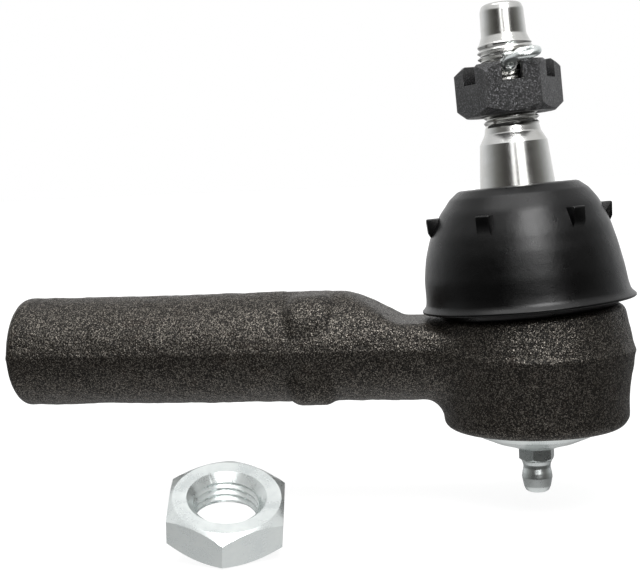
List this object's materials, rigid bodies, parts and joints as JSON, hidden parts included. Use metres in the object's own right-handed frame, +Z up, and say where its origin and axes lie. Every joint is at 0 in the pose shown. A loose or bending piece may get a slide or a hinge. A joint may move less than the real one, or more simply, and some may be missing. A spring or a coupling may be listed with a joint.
{
  "type": "tie rod end",
  "caption": "Outer steering tie rod end: female threaded shank, swivelling tapered ball stud under a rubber boot, slotted nut with split pin, grease fitting and loose jam nut.",
  "frame": {"origin": "centre of the ball", "axes": "+Z up the socket towards the stud, square to the shank; the shank runs along -X; +X away from the shank; the stud leans 3.6 degrees from +Z towards -X"},
  "size_m": [0.1392, 0.0799, 0.1077],
  "materials": {
    "forged_steel": "rough forged, dark brown-black, oiled",
    "rubber": "moulded black rubber, satin",
    "ground_steel": "ground bright steel",
    "black_phosphate": "black phosphate, slightly speckled",
    "zinc": "bright zinc plate, bluish",
    "sintered_iron": "sintered, matt",
    "spring_steel": "dark spring steel"
  },
  "bodies": {
    "housing": {"socket_housing": "forged_steel", "upper_bearing": "sintered_iron", "preload_spring": "spring_steel", "cover_plate": "zinc", "grease_fitting": "zinc", "fitting_spring": "spring_steel"},
    "lower_seat": {"lower_bearing": "sintered_iron"},
    "check_ball": {"fitting_check_ball": "ground_steel"},
    "boot": {"dust_boot": "rubber"},
    "boot_ring": {"boot_neck_ring": "spring_steel"},
    "stud": {"ball_stud": "ground_steel", "castle_nut": "black_phosphate"},
    "split_pin": {"cotter_pin": "zinc"},
    "loose_nut": {"jam_nut": "zinc"}
  },
  "joints": [
    {"name": "stud_swing_along", "type": "hinge", "parent": "housing", "child": "boot", "pos_m": [0, 0, 0], "axis": [0, 1, 0], "range_deg": [-17, 17], "deforming": ["dust_boot"]},
    {"name": "stud_swing_across", "type": "hinge", "parent": "boot", "child": "boot_ring", "pos_m": [0, 0, 0], "axis": [0.998, 0, 0.0628], "range_deg": [-17, 17]},
    {"name": "stud_spin", "type": "hinge", "parent": "boot_ring", "child": "stud", "pos_m": [0, 0, 0], "axis": [-0.0628, 0, 0.998], "continuous": true},
    {"name": "split_pin_pull", "type": "slide", "parent": "stud", "child": "split_pin", "axis": [0.1216, -0.9925, 0.0077], "range_m": [0, 0.03]},
    {"name": "lower_seat_take_up", "type": "slide", "parent": "housing", "child": "lower_seat", "axis": [0, 0, 1], "range_m": [-0.0005, 0], "stiffness_N_per_m": 5000, "springref_m": 0.001, "deforming": ["preload_spring"]},
    {"name": "check_ball_lift", "type": "slide", "parent": "housing", "child": "check_ball", "axis": [0, 0, 1], "range_m": [0, 0.0008], "stiffness_N_per_m": 50, "springref_m": -0.002, "deforming": ["fitting_spring"]},
    {"name": "jam_nut_rest", "type": "slide", "parent": "housing", "child": "loose_nut", "axis": [0.1478, -0.418, 0.8964], "range_m": [0, 0.00005]}
  ]
}
